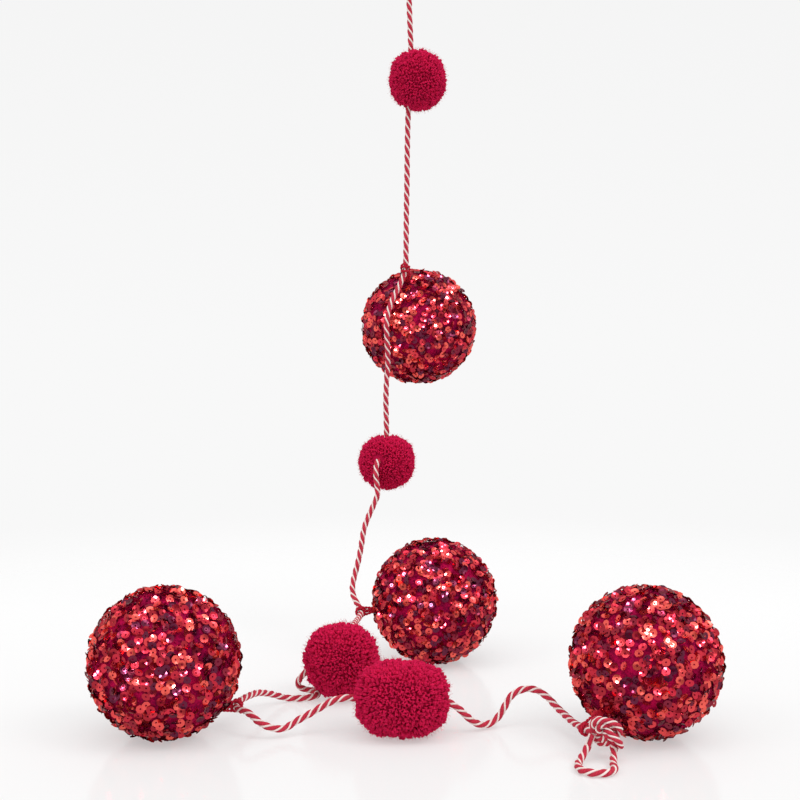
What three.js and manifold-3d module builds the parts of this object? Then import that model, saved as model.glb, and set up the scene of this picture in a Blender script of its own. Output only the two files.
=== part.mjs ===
// Pom-pom garland: a red and white twisted cord that carries wool pompoms and sequinned balls in
// turn. The upper half hangs from the loop at its top end and the lower half lies on a table.
//
// Units are millimetres, with +Z up, +X to the right and +Y away from the viewer. Places are
// written with X and Y measured from the hanging cord and Z from the table top. The whole garland
// is then lowered, so that the inside of the hanging loop's crown is the origin.

import * as THREE from 'three';
import { mergeVertices } from 'three/addons/utils/BufferGeometryUtils.js';
import Module from 'manifold-3d';

const wasm = await Module();
wasm.setup();

// Driving dimensions
const CROWN_HEIGHT = 381;
const GAP = 0.3;
const TABLE = 0;

const CORD = { crest: 1.5, shoulder: 1.38, groove: 1.02, lay: 9.6, ringsPerTurn: 6 };
const BALL = { radius: 30.1, lump: 0.4, detail: 4 };
const THREAD = { radius: 0.6, standOff: 0.2, reach: 3.3, gathered: 0.4, sides: 5, steps: 14 };
const KNOT = { radius: 3.7, cord: 1.5, steps: 30, sides: 6 };

// A pompom's core and its locks of cut yarn, in shares of the pompom's half size
const CORE = 0.62;
const LOCK = {
  rootAt: 0.34, root: 0.085, shoulderAt: 0.92, shoulder: 0.225, sides: 4, uneven: 0.05,
  tested: [0.6, 0.8, 1], rest: 0.02,
};

// One row for each pompom: its centre, its size across, front to back and up, its number of locks
const POMPOMS = [
  { name: 'pompom_1', at: [4.4, 0, 291.4], size: [30.5, 30, 31], locks: 50 },
  { name: 'pompom_2', at: [-11.4, 0, 94], size: [29.5, 29, 29.5], locks: 48 },
  { name: 'pompom_3', at: [-30.4, -108, 17], size: [35.5, 34.5, 34], locks: 52 },
  { name: 'pompom_4', at: [-3, -162, 16.2], size: [41, 37, 32.2], locks: 56 },
];

// One row for each ball: its centre, and its thread loop, with the way from the centre to the place
// where the thread leaves the ball, the cord's middle inside the loop, and the cord's direction there
const BALLS = [
  { name: 'ball_1', at: [5.3, 21, 164.5], rests: false,
    loop: { from: [-7.1, -21, 29.6], cord: [-1.8, 0, 194.1], along: [0, 0, -1] } },
  { name: 'ball_2', at: [12.3, -43, 29.9], rests: true,
    loop: { from: [-36, -3.6, -4.8], cord: [-23.8, -46.6, 25.2], along: [0, -1, -0.1] } },
  { name: 'ball_3', at: [-98.5, -163, 29.9], rests: true,
    loop: { from: [21, 6, -22], cord: [-71.2, -152, 9.2], along: [0, -1, 0] } },
  { name: 'ball_4', at: [93.4, -162.5, 29.9], rests: true,
    loop: { from: [-26.8, -20.9, -20.9], cord: [66.6, -183.4, 9], along: [0.2, -1, 0.15] } },
];

const KNOTS = [
  { name: 'top_knot', at: [0, 0, 343.6], faces: [0, 1, 0], turn: Math.PI / 2 },
  { name: 'end_knot', at: [71.2, -192, 10.9], faces: [0.4, 1, 0.2], turn: Math.PI / 6 },
];

// The cord from end to end, in its free stretches. Each list follows the middle of the cord.
const CORDS = {
  top_loop: [
    [-4.6, 0, 349.1], [-6.6, 0, 355.4], [-8.1, 0, 362], [-8.8, 0, 368], [-7.9, 0, 374.6],
    [-4.8, 0, 380.2], [0, 0, 382.5], [4.8, 0, 380.2], [7.9, 0, 374.6], [8.8, 0, 368],
    [8.1, 0, 362], [6.6, 0, 355.4], [4.6, 0, 349.1],
  ],
  cord_1: [
    [0, 0, 336.1], [0.1, 0, 330], [0.5, 0, 319], [0.9, 0, 309], [1.2, 0, 299.4],
  ],
  cord_2: [
    [0.6, 0, 283.6], [-0.3, 0, 275], [-0.8, 0, 258], [-1, 0, 240], [-1.3, 0, 222], [-1.5, 0, 204],
    [-1.8, 0, 194.1], [-3.6, -0.8, 188.6], [-6.2, -2.9, 183], [-8.8, -5.4, 177.4], [-10.8, -7.6, 171],
    [-11.5, -8.6, 165], [-11.3, -8, 158], [-10.9, -6.2, 151], [-10.9, -4, 144], [-11.5, -2.2, 137],
    [-11.9, -0.8, 126.4], [-11.7, 0, 115], [-11.4, 0, 102.2],
  ],
  cord_3: [
    [-14.6, -8.4, 95.6], [-16, -12.2, 95.4], [-16.8, -15.2, 92.6], [-16.8, -16.3, 88], [-16.3, -16.6, 83.4],
    [-16, -16.9, 79], [-17.9, -17.8, 74], [-20.6, -19, 68], [-22.8, -21, 62], [-24.3, -24, 52.8],
    [-25.8, -27, 45.6], [-27.5, -30, 39.2], [-28.3, -33, 34.8], [-27.8, -36, 31.2], [-25.9, -39.6, 28],
    [-24, -43.4, 25.8], [-23.6, -48, 24.9], [-24.4, -56, 24.2], [-25.6, -66, 24.5], [-26.3, -76, 25],
    [-27.2, -86, 24.2], [-29, -99.4, 20.3],
  ],
  cord_4: [
    [-40.4, -107.2, 13.4], [-44, -106.9, 12.6], [-47, -106, 10.2], [-49.3, -104.8, 7.2], [-49.9, -103.4, 4.6],
    [-48.6, -101.6, 2.6], [-45.8, -101.4, 1.7], [-42.8, -103.4, 1.7], [-41, -107, 1.7], [-41.6, -111, 1.7],
    [-44.8, -114, 1.7], [-49.6, -115.1, 1.7], [-54.4, -116.2, 2.3], [-60.2, -121.4, 5.4], [-64.8, -130, 8.3],
    [-68.2, -139, 9.3], [-70.6, -146, 9.4], [-71.2, -152, 9.2], [-69.8, -158, 9.4], [-66.4, -162.2, 9.8],
    [-63.2, -165, 8.6], [-60.6, -166.6, 6.8], [-57, -167.4, 5.2], [-53.4, -166.8, 4.1], [-50, -165, 4],
    [-46.6, -162.8, 5.6], [-41, -161.4, 8.4], [-35.4, -161, 11.6], [-31, -161, 13.9], [-26.4, -161, 14.9],
    [-20.6, -161.4, 14.8], [-14.2, -161.8, 15.2],
  ],
  cord_5: [
    [8.5, -162, 15.3], [13, -161.8, 14], [16.4, -161.4, 12.4], [19.4, -160.6, 10], [22, -159.4, 7.2],
    [25.4, -157.6, 4], [29.4, -155.4, 2.2], [33.3, -153.2, 2.9], [36.2, -151.8, 5.4], [38.3, -150.9, 8.7],
    [40.4, -150, 12], [43.4, -149.2, 14.2], [47.6, -149, 15.3], [51.8, -149.4, 14.6], [55.4, -151.2, 12.5],
    [58.9, -156.4, 9.6], [61.6, -163, 8.2], [63.7, -170.4, 7.7], [65.4, -177, 8.1], [66.6, -183.4, 9],
    [67.5, -187.7, 9.8],
  ],
  end_loop: [
    [66.2, -192.2, 5.2], [64, -195.2, 2.9], [61.9, -199.6, 1.8], [60.8, -204.4, 1.7], [61.6, -208.8, 1.7],
    [64.6, -211.6, 1.7], [68.4, -212.2, 1.7], [71.8, -210.8, 1.7], [73.8, -207.2, 1.7], [74.2, -202, 1.7],
    [75, -197.4, 2.4], [75.8, -193.6, 4.6],
  ],
};

const YARN = new THREE.MeshStandardMaterial({ color: 0xa81a36, roughness: 0.95, metalness: 0 });
const SEQUIN = new THREE.MeshStandardMaterial({ color: 0xa3122b, roughness: 0.3, metalness: 0.5 });
const TWIST = new THREE.MeshStandardMaterial({ color: 0xc24a5c, roughness: 0.8, metalness: 0 });
const LOOP_THREAD = new THREE.MeshStandardMaterial({ color: 0x7c1026, roughness: 0.8, metalness: 0 });

const place = ([x, y, z]) => new THREE.Vector3(x, y, z);

// A repeatable number from -1 to 1 for the n-th thing
function uneven(n, salt = 0) {
  const wave = Math.sin(n * 12.9898 + salt * 78.233 + 1.7) * 43758.5453;
  return 2 * (wave - Math.floor(wave)) - 1;
}

// Keeps the corners' places alone and joins the ones that are shared
function closed(geometry) {
  geometry.deleteAttribute('normal');
  geometry.deleteAttribute('uv');
  return mergeVertices(geometry, 1e-4);
}

function toSolid(geometry) {
  const merged = closed(geometry);
  return new wasm.Manifold(new wasm.Mesh({
    numProp: 3,
    vertProperties: new Float32Array(merged.attributes.position.array),
    triVerts: new Uint32Array(merged.index.array),
  }));
}

function fromSolid(solid) {
  const mesh = solid.getMesh();
  const geometry = new THREE.BufferGeometry();
  geometry.setAttribute('position', new THREE.BufferAttribute(new Float32Array(mesh.vertProperties), 3));
  geometry.setIndex(new THREE.BufferAttribute(new Uint32Array(mesh.triVerts), 1));
  return geometry;
}

function named(name, geometry, material) {
  const mesh = new THREE.Mesh(geometry, material);
  mesh.name = name;
  return mesh;
}

const routes = Object.fromEntries(Object.entries(CORDS).map(([name, points]) => [
  name, new THREE.CatmullRomCurve3(points.map(place), false, 'centripetal'),
]));
const cordMiddles = Object.values(routes).flatMap(
  (route) => route.getSpacedPoints(Math.round(route.getLength())),
);

// Outline of two plies side by side, with a groove between them on each side
function plyOutline() {
  const reach = [CORD.crest, CORD.shoulder, CORD.groove, CORD.shoulder];
  const corners = [...reach, ...reach].map((r, k) => {
    const angle = k * Math.PI / 4;
    return new THREE.Vector2(r * Math.cos(angle), r * Math.sin(angle));
  });
  return new THREE.Shape(corners);
}

// The twisted cord along a route: each ring of the extruded outline is turned a little further, to
// the left, as the real plies run
function twistedCord(route) {
  const steps = Math.ceil(route.getLength() / (CORD.lay / CORD.ringsPerTurn));
  const turn = -2 * Math.PI / CORD.ringsPerTurn;
  const swept = new THREE.ExtrudeGeometry(plyOutline(), {
    steps, bevelEnabled: false, extrudePath: route,
  });
  const geometry = closed(swept);
  const middles = route.getSpacedPoints(steps);
  const { tangents } = route.computeFrenetFrames(steps, false);
  const corner = new THREE.Vector3();
  const { position } = geometry.attributes;
  for (let i = 0; i < position.count; i += 1) {
    corner.fromBufferAttribute(position, i);
    const ring = nearest(corner, middles);
    corner.sub(middles[ring]).applyAxisAngle(tangents[ring], ring * turn).add(middles[ring]);
    position.setXYZ(i, corner.x, corner.y, corner.z);
  }
  return geometry;
}

function nearest(point, candidates) {
  let best = 0;
  candidates.forEach((candidate, k) => {
    if (candidate.distanceToSquared(point) < candidates[best].distanceToSquared(point)) best = k;
  });
  return best;
}

// Evenly spread directions, on a spiral from pole to pole
function direction(k, count) {
  const z = 1 - (2 * k + 1) / count;
  const angle = k * Math.PI * (3 - Math.sqrt(5));
  const ring = Math.sqrt(1 - z * z);
  return new THREE.Vector3(ring * Math.cos(angle), ring * Math.sin(angle), z);
}

// One lock of cut yarn, from inside the core to its tip, widest at its shoulder
function lockCorners(centre, half, aim, spin, share) {
  const outward = aim.clone().multiply(half);
  const length = outward.length() * share;
  const axis = outward.normalize();
  const side = new THREE.Vector3(-axis.y, axis.x, 0);
  if (side.length() < 0.1) side.set(1, 0, 0);
  side.normalize().applyAxisAngle(axis, spin);
  const across = new THREE.Vector3().crossVectors(axis, side);
  const mean = (half.x + half.y + half.z) / 3;
  const rows = [[LOCK.rootAt, LOCK.root * mean], [LOCK.shoulderAt, LOCK.shoulder * mean]];
  const corners = rows.flatMap(([at, width]) => Array.from({ length: LOCK.sides }, (_, k) => {
    const angle = 2 * Math.PI * k / LOCK.sides;
    return centre.clone()
      .addScaledVector(axis, length * at)
      .addScaledVector(side, width * Math.cos(angle))
      .addScaledVector(across, width * Math.sin(angle));
  }));
  corners.push(centre.clone().addScaledVector(axis, length));
  return corners;
}

function lockSolid(corners) {
  const n = LOCK.sides;
  const faces = [];
  for (let k = 0; k < n; k += 1) {
    const next = (k + 1) % n;
    faces.push(k, next, n + next, k, n + next, n + k);
    faces.push(n + k, n + next, 2 * n);
    if (k > 0 && k < n - 1) faces.push(0, k + 1, k);
  }
  const geometry = new THREE.BufferGeometry().setFromPoints(corners);
  geometry.setIndex(faces);
  return toSolid(geometry);
}

function passesCord(centre, half, tip) {
  return LOCK.tested.some((along) => {
    const point = centre.clone().lerp(tip, along);
    const room = CORD.crest + GAP + half.x * (along === 1 ? LOCK.root : LOCK.shoulder);
    return cordMiddles.some((middle) => point.distanceTo(middle) < room);
  });
}

const lowest = (corners) => Math.min(...corners.map((corner) => corner.z));

// A lock ends on the table instead of going into it, and is left out where a cord passes
function fittedLock(centre, half, aim, spin, share) {
  let part = share;
  let corners = lockCorners(centre, half, aim, spin, part);
  while (lowest(corners) < TABLE) {
    part *= 1 + (lowest(corners) - LOCK.rest) / (centre.z - lowest(corners));
    corners = lockCorners(centre, half, aim, spin, part);
  }
  return passesCord(centre, half, corners[corners.length - 1]) ? null : corners;
}

function pompom({ at, size, locks }) {
  const centre = place(at);
  const half = place(size).multiplyScalar(0.5);
  const core = new THREE.IcosahedronGeometry(1, 0);
  core.scale(half.x * CORE, half.y * CORE, half.z * CORE);
  core.translate(centre.x, centre.y, centre.z);
  let solid = toSolid(core);
  for (let k = 0; k < locks; k += 1) {
    const share = 1 + LOCK.uneven * uneven(k, locks);
    const corners = fittedLock(centre, half, direction(k, locks), uneven(k, 3) * Math.PI, share);
    if (corners) solid = solid.add(lockSolid(corners));
  }
  return fromSolid(solid);
}

// A ball covered in sequins, a little lumpy, with a small flat where it rests
function ball({ at, rests }, salt) {
  const geometry = closed(new THREE.IcosahedronGeometry(BALL.radius, BALL.detail));
  const { position } = geometry.attributes;
  const corner = new THREE.Vector3();
  for (let i = 0; i < position.count; i += 1) {
    corner.fromBufferAttribute(position, i);
    corner.setLength(BALL.radius + BALL.lump * uneven(i, salt));
    position.setXYZ(i, corner.x, corner.y, corner.z);
  }
  geometry.rotateX(salt);
  geometry.translate(...at);
  if (!rests) return geometry;
  const below = new THREE.BoxGeometry(BALL.radius, BALL.radius, BALL.radius);
  below.translate(at[0], at[1], TABLE - BALL.radius / 2);
  return fromSolid(toSolid(geometry).subtract(toSolid(below)));
}

// Makes a ring round X an oval one that is drawn in towards its end on the ball
function drawIn(ring, half, share) {
  const { position } = ring.attributes;
  for (let i = 0; i < position.count; i += 1) {
    const along = (position.getX(i) + half) / (2 * half);
    position.setY(i, position.getY(i) * share * (THREAD.gathered + (1 - THREAD.gathered) * along));
  }
}

// The thread loop that ties a ball to the cord: an oval ring from the ball's skin round the cord
function threadLoop({ at, loop }) {
  const away = place(loop.from).normalize();
  const root = place(at).addScaledVector(away, BALL.radius + THREAD.standOff);
  const reach = place(loop.cord).sub(root);
  const across = new THREE.Vector3().crossVectors(reach, place(loop.along)).normalize();
  const through = new THREE.Vector3().crossVectors(reach, across).normalize();
  const past = CORD.crest / Math.abs(through.dot(place(loop.along).normalize())) + GAP + 2 * THREAD.radius;
  const half = (reach.length() + past) / 2;
  const ring = new THREE.TorusGeometry(half - THREAD.radius, THREAD.radius, THREAD.sides, THREAD.steps);
  drawIn(ring, half, THREAD.reach / half);
  const basis = new THREE.Matrix4().makeBasis(reach.clone().normalize(), across, through);
  ring.applyMatrix4(basis);
  const middle = root.addScaledVector(reach.normalize(), half);
  ring.translate(middle.x, middle.y, middle.z);
  return closed(ring);
}

// An overhand knot drawn up small
function knot({ at, faces, turn }) {
  const geometry = new THREE.TorusKnotGeometry(KNOT.radius, KNOT.cord, KNOT.steps, KNOT.sides, 2, 3);
  const upright = new THREE.Vector3(0, 0, 1);
  geometry.rotateZ(turn);
  geometry.applyQuaternion(new THREE.Quaternion().setFromUnitVectors(upright, place(faces).normalize()));
  geometry.translate(...at);
  return closed(geometry);
}

const garland = new THREE.Group();
POMPOMS.forEach((row) => garland.add(named(row.name, pompom(row), YARN)));
BALLS.forEach((row, k) => {
  garland.add(named(row.name, ball(row, k + 1), SEQUIN));
  garland.add(named(`${row.name}_thread`, threadLoop(row), LOOP_THREAD));
});
KNOTS.forEach((row) => garland.add(named(row.name, knot(row), TWIST)));
Object.entries(routes).forEach(([name, route]) => garland.add(named(name, twistedCord(route), TWIST)));
garland.position.z = -CROWN_HEIGHT;

export default garland;
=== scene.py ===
"""Looks of a pom-pom garland, built in Blender 4.5 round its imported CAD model.

A red and white twisted cord carries four wool pompoms and four sequinned balls in turn. The upper
half hangs from the loop at its top end, and the lower half lies on a table. Everything is in
metres and in the frame of the CAD model, whose origin is the inside of the hanging loop's crown.
"""

import logging  # noqa: E402
import math  # noqa: E402
from collections.abc import Callable, Sequence  # noqa: E402
from dataclasses import dataclass  # noqa: E402
from enum import Enum  # noqa: E402
from functools import partial  # noqa: E402

import bmesh  # noqa: E402
import bpy  # noqa: E402
import numpy as np  # noqa: E402
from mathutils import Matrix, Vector  # noqa: E402

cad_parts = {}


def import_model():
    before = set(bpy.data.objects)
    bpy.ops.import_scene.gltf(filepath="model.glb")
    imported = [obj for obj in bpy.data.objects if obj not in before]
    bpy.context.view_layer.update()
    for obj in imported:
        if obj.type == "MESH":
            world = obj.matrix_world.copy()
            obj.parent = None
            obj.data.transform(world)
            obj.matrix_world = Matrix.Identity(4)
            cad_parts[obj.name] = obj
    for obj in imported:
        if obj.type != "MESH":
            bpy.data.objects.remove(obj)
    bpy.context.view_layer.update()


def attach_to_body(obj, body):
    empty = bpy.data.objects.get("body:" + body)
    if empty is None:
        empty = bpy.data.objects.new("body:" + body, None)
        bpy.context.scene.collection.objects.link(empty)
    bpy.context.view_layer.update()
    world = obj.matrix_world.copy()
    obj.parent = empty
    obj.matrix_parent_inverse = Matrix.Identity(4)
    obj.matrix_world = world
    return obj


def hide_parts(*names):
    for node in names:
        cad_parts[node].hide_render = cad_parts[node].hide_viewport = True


log = logging.getLogger("pom_pom_garland")

MM = 0.001
BODY = "root"
# The table top lies this far under the inside of the hanging loop's crown
CROWN_HEIGHT = 381.0
TABLE = -CROWN_HEIGHT * MM
# Nothing comes nearer to the table top than this
CLEAR_OF_TABLE = 0.05 * MM
# How many sides the thinnest parts have
THIN_SIDES = 3
WHITE = "FFFFFF"

Point = tuple[float, float, float]
Colour = tuple[float, float, float, float]
Values = dict[int | str, object]
Thing = bpy.types.Object
Tree = bpy.types.NodeTree
Node = bpy.types.Node
Material = bpy.types.Material
# What adds a node to one tree
Add = Callable[..., Node]


class Slot(Enum):
    """The record's material slots."""

    YARN = "wool_yarn"
    SEQUINS = "sequins"
    THREAD = "thread"
    CORD = "twisted_cord"


# Small tools


def linear(colour: str) -> Colour:
    """Turns an sRGB hex colour to linear light.

    Args:
        colour: The colour as six hex digits.

    Returns:
        Red, green, blue and alpha in linear light.
    """
    parts = [int(colour[k : k + 2], 16) / 255 for k in (0, 2, 4)]
    red, green, blue = (
        c / 12.92 if c <= 0.04045 else ((c + 0.055) / 1.055) ** 2.4 for c in parts
    )
    return red, green, blue, 1.0


def in_frame(place: Point) -> Vector:
    """Turns millimetres above the table to metres in the CAD model's frame."""
    x, y, z = place
    return Vector((x, y, z - CROWN_HEIGHT)) * MM


def unit(direction: Point) -> np.ndarray:
    """The direction at length 1."""
    return np.array(direction, float) / np.linalg.norm(direction)


def add_node(tree: Tree, kind: str, inputs: Values | None = None, **settings: object) -> Node:
    """Adds a node with its settings, values and links.

    Args:
        tree: The tree that gets the node.
        kind: The node's type name.
        inputs: By the input's name or number, a value, a socket to link from, a node whose first
            output is meant, or a list of nodes for an input that takes many.
        **settings: The node's own properties.

    Returns:
        The new node.
    """
    node = tree.nodes.new(kind)
    for name, value in settings.items():
        setattr(node, name, value)
    for key, value in (inputs or {}).items():
        for source in value if isinstance(value, list) else [value]:
            if isinstance(source, Node):
                source = source.outputs[0]
            if isinstance(source, bpy.types.NodeSocket):
                tree.links.new(source, node.inputs[key])
            else:
                node.inputs[key].default_value = source
    return node


def ramp(node: Node, *stops: tuple[float, str]) -> None:
    """Sets a colour ramp's stops.

    Args:
        node: The Color Ramp node.
        *stops: Positions from 0 to 1, each with its sRGB hex colour.
    """
    elements = node.color_ramp.elements
    while len(elements) < len(stops):
        elements.new(1.0)
    for element, (position, colour) in zip(elements, stops):
        element.position = position
        element.color = linear(colour)


def new_object(name: str, data: bpy.types.ID) -> Thing:
    """Puts a new object in the scene.

    Args:
        name: The object's name.
        data: Its mesh, lamp or camera.

    Returns:
        The object, at the origin.
    """
    made = bpy.data.objects.new(name, data)
    bpy.context.scene.collection.objects.link(made)
    return made


def mesh_object(name: str, corners: list, faces: list, edges: list | None = None) -> Thing:
    """Makes a mesh object at the origin.

    Args:
        name: The object's name.
        corners: Vertex places in metres.
        faces: Faces as lists of vertex numbers.
        edges: Loose edges, for a line.

    Returns:
        The object.
    """
    mesh = bpy.data.meshes.new(name)
    mesh.from_pydata([tuple(c) for c in corners], edges or [], faces)
    mesh.update()
    return new_object(name, mesh)


def discard(thing: Thing) -> None:
    """Removes a helper object and its mesh.

    Args:
        thing: The object.
    """
    mesh = thing.data
    bpy.data.objects.remove(thing)
    bpy.data.meshes.remove(mesh)


def join(thing: Thing, *others: Thing) -> None:
    """Joins objects into one.

    Args:
        thing: The object that stays.
        *others: The objects whose meshes it takes. They are removed.
    """
    both = [thing, *others]
    with bpy.context.temp_override(
        active_object=thing, object=thing, selected_objects=both, selected_editable_objects=both
    ):
        bpy.ops.object.join()


# Finishes


@dataclass(frozen=True)
class Finish:
    """A finish: the common name of the real material, how far its relief stands out and how
    strongly it shows. Each kind of finish gives its main shader's values and its pattern."""

    name: str
    relief_mm: float = 0.05
    relief: float = 0.1

    def shader(self) -> Values:
        """The values on the main shader's own sockets."""
        raise NotImplementedError

    def pattern(self, add: Add) -> tuple[Node, Node]:
        """Adds the pattern.

        Args:
            add: What adds a node to the material's tree.

        Returns:
            The node that gives the colour, and the one whose height is raised.
        """
        raise NotImplementedError

    def start(self) -> tuple[Material, Add]:
        """Starts the material.

        Returns:
            The material, and what adds a node to its tree.
        """
        material = bpy.data.materials.new(self.name)
        material.use_nodes = True
        material.node_tree.nodes.clear()
        return material, partial(add_node, material.node_tree)

    def build(self) -> Material:
        """Makes the material from its shader's values and its pattern.

        Returns:
            The material.
        """
        material, add = self.start()
        colour, height = self.pattern(add)
        bump = add("ShaderNodeBump", {
            "Height": height, "Strength": self.relief, "Distance": self.relief_mm * MM,
        })
        main = add("ShaderNodeBsdfPrincipled", {**self.shader(), "Base Color": colour, "Normal": bump})
        add("ShaderNodeOutputMaterial", {"Surface": main})
        return material


@dataclass(frozen=True)
class Textile(Finish):
    """Fibres of wool, cotton or polyester, which are matt and refract about alike. Their loose ends
    give the eye a soft bloom where the surface turns away."""

    bloom: str = WHITE
    roughness: float = 0.9
    ior: float = 1.5
    specular: float = 0.05
    sheen: float = 0.2
    sheen_roughness: float = 0.5

    def shader(self) -> Values:
        """Gives the values on the main shader's own sockets.

        Returns:
            The values by the sockets' names.
        """
        return {
            "Roughness": self.roughness, "IOR": self.ior, "Specular IOR Level": self.specular,
            "Sheen Weight": self.sheen, "Sheen Roughness": self.sheen_roughness,
            "Sheen Tint": linear(self.bloom),
        }


@dataclass(frozen=True)
class CutWool(Textile):
    """Worsted wool yarn, dyed crimson and cut short. The eye sees soft matt tips with a faint
    bloom at the rim, over deeper red between them, which is painted shade: darker towards the roots."""

    relief_mm: float = 0.12
    relief: float = 0.5
    bloom: str = "D8507A"
    roughness: float = 0.95
    specular: float = 0.03
    # Painted shade: the ramp from root through middle to tip darkens the pile where less light gets in
    root: str = "B21342"
    middle: str = "CC184C"
    tip: str = "DC2054"
    fibre_mm: float = 0.25
    dyed: tuple[float, float] = (0.86, 1.12)
    flecked: tuple[float, float] = (0.9, 1.08)

    def pattern(self, add: Add) -> tuple[Node, Node]:
        """Adds the pattern. It reads the pile's own attributes: reach, from root to tip, and shade,
        a number for each yarn end.

        Args:
            add: What adds a node to the material's tree.

        Returns:
            The nodes of the colour and of the height.
        """
        reach, shade = (
            add("ShaderNodeAttribute", attribute_name=name).outputs["Fac"] for name in ("reach", "shade")
        )
        # Painted shade: the colour runs from the dark root to the light tip by each corner's reach
        depth = add("ShaderNodeValToRGB", {"Fac": reach})
        ramp(depth, (0.0, self.root), (0.7, self.middle), (1.0, self.tip))
        dye = add("ShaderNodeMapRange", {"Value": shade, "To Min": self.dyed[0], "To Max": self.dyed[1]})
        # Fibres of about 0.02 mm would not show, so they are drawn as locks of a quarter millimetre
        fibres = add("ShaderNodeTexNoise", {
            "Vector": add("ShaderNodeTexCoord").outputs["Object"], "Scale": 1 / (4 * self.fibre_mm * MM),
            "Detail": 3.0, "Roughness": 0.6,
        })
        flecks = add("ShaderNodeMapRange", {
            "Value": fibres, "From Min": 0.3, "From Max": 0.7, "To Min": self.flecked[0],
            "To Max": self.flecked[1],
        })
        both = add("ShaderNodeMath", {0: dye, 1: flecks}, operation="MULTIPLY")
        return add("ShaderNodeHueSaturation", {"Color": depth, "Value": both}), fibres


@dataclass(frozen=True)
class VelvetCloth(Textile):
    """Knitted velvet drawn over the ball, deep crimson. Between the sequins the eye sees a soft
    blue-red ground, lighter where its short pile is seen edge on, with painted shade in the hollows."""

    relief_mm: float = 0.3
    relief: float = 0.7
    bloom: str = "D04A74"
    sheen: float = 0.35
    sheen_roughness: float = 0.4
    shaded_valley: str = "640632"
    pile: str = "BE0C4A"
    tuft_mm: float = 0.9
    tuft_share: float = 0.3
    patch_mm: float = 5.0

    def pattern(self, add: Add) -> tuple[Node, Node]:
        """Adds the pattern: tufts and patches, drawn from the Object coordinates.

        Args:
            add: What adds a node to the material's tree.

        Returns:
            The nodes of the colour and of the height.
        """
        place = add("ShaderNodeTexCoord").outputs["Object"]
        tufts = add("ShaderNodeTexVoronoi", {"Vector": place, "Scale": 1 / (self.tuft_mm * MM)})
        patches = add("ShaderNodeTexNoise", {
            "Vector": place, "Scale": 1 / (self.patch_mm * MM), "Detail": 2.0,
        })
        mix = add("ShaderNodeMath", {0: tufts, 1: self.tuft_share, 2: patches}, operation="MULTIPLY_ADD")
        colour = add("ShaderNodeValToRGB", {"Fac": mix})
        # Painted shade: the ramp darkens the cloth where the tufts' height is low, in the hollows between
        # them
        ramp(colour, (0.4, self.shaded_valley), (0.8, self.pile))
        return colour, tufts


@dataclass(frozen=True)
class SequinFilm(Finish):
    """Cup sequins stamped from metallised polyester film, lacquered red. Each one gives the eye a clear
    white glint as it tilts, and painted reflection: a random colour from deep maroon to a coral gleam."""

    maroon: str = "601234"
    crimson: str = "A61A2A"
    red: str = "D4263E"
    coral: str = "F45E52"
    edge: str = "B8404C"
    dent_mm: float = 1.6

    def shader(self) -> Values:
        """Gives the values on the main shader's own sockets.

        Returns:
            The values by the sockets' names.
        """
        return {
            "Metallic": 0.8, "Roughness": 0.15, "Specular IOR Level": 0.3,
            "Specular Tint": linear(self.edge), "Coat Weight": 0.35, "Coat Roughness": 0.1,
        }

    def pattern(self, add: Add) -> tuple[Node, Node]:
        """Adds the pattern. It reads shade, a number for each sequin.

        Args:
            add: What adds a node to the material's tree.

        Returns:
            The nodes of the colour and of the height.
        """
        shade = add("ShaderNodeAttribute", attribute_name="shade").outputs["Fac"]
        colour = add("ShaderNodeValToRGB", {"Fac": shade})
        # Painted reflection: each sequin's random shade sets its colour from maroon to coral, as if it
        # mirrored a dark or bright surround
        ramp(colour, (0.14, self.maroon), (0.36, self.crimson), (0.62, self.red), (0.9, self.coral))
        return colour, add("ShaderNodeTexNoise", {
            "Vector": add("ShaderNodeTexCoord").outputs["Object"], "Scale": 1 / (self.dent_mm * MM),
            "Detail": 1.0,
        })


@dataclass(frozen=True)
class SpunYarn(Textile):
    """A ply of spun cotton. Its fibres run round it in fine slanting lines, which give the eye a
    silky streak along the twist. The tube's own attributes along and ring place the lines."""

    relief_mm: float = 0.06
    relief: float = 0.6
    bloom: str = "F0A0A8"
    roughness: float = 0.7
    specular: float = 0.15
    sheen: float = 0.14
    shadow: str = "8C142E"
    light: str = "E03A50"
    twist_mm: float = 3.2
    streak_mm: float = 4.0
    fineness: float = 3.0

    def pattern(self, add: Add) -> tuple[Node, Node]:
        """Adds the pattern: lines that turn with the ply's own twist and change slowly along it.

        Args:
            add: What adds a node to the material's tree.

        Returns:
            The nodes of the colour and of the height.
        """
        along = add("ShaderNodeAttribute", attribute_name="along").outputs["Fac"]
        ring = add("ShaderNodeAttribute", attribute_name="ring").outputs["Vector"]
        turn, slow = (
            add("ShaderNodeMath", {0: along, 1: rate / MM}, operation="MULTIPLY")
            for rate in (2 * math.pi / self.twist_mm, 1 / self.streak_mm)
        )
        turned = add("ShaderNodeVectorRotate", {"Vector": ring, "Angle": turn}, rotation_type="Z_AXIS")
        lift = add("ShaderNodeCombineXYZ", {"Z": slow})
        where = add("ShaderNodeVectorMath", {0: turned, 1: lift}, operation="ADD")
        fibres = add("ShaderNodeTexNoise", {
            "Vector": where, "Scale": self.fineness, "Detail": 4.0, "Roughness": 0.7,
        })
        colour = add("ShaderNodeValToRGB", {"Fac": fibres})
        ramp(colour, (0.32, self.shadow), (0.66, self.light))
        return colour, fibres


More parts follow.
